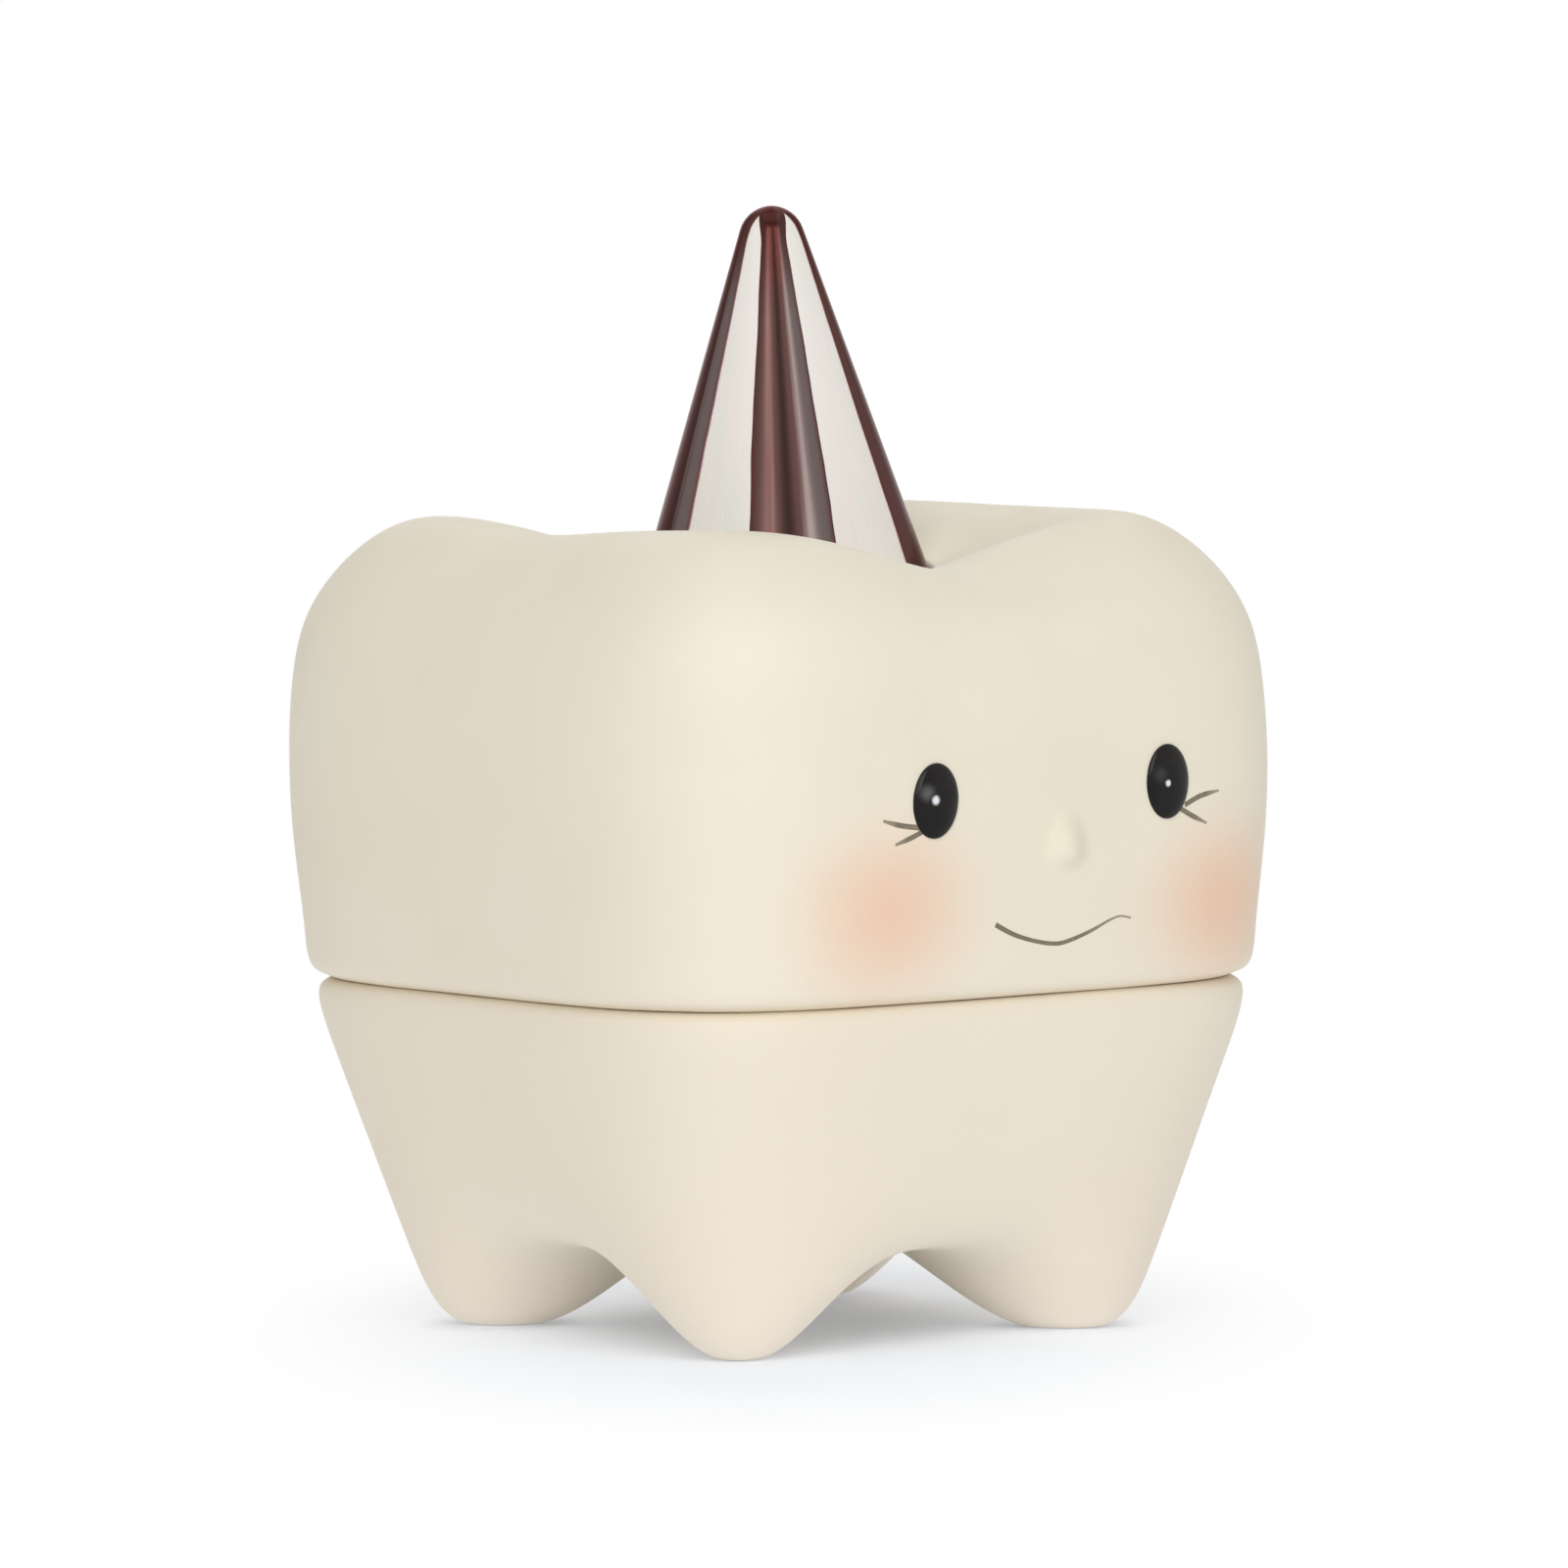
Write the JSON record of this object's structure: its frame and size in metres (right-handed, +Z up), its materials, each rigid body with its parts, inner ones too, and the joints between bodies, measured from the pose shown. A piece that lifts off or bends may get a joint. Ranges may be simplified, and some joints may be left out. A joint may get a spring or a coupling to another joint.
{
  "type": "baby tooth box",
  "caption": "Keepsake box shaped like a molar: a cup on rounded roots, a lift-off crown with cusps and a gentle face, and a striped cone hat pegged into the crown.",
  "frame": {"origin": "on the table under the middle of the box", "axes": "+Z up, the face towards -Y, +X to the right of someone who looks at the face"},
  "size_m": [0.0662, 0.0683, 0.0915],
  "materials": {
    "matte_ceramic": "matte",
    "lustre_glaze": "gloss",
    "eye_glaze": "gloss"
  },
  "bodies": {
    "base": {"root_base": "matte_ceramic"},
    "lid": {"crown_lid": "matte_ceramic", "party_hat": "lustre_glaze", "left_eye": "eye_glaze", "right_eye": "eye_glaze"}
  },
  "joints": [
    {"name": "lid_lift", "type": "slide", "parent": "base", "child": "lid", "axis": [0, 0, 1], "range_m": [0, 0.06]}
  ]
}
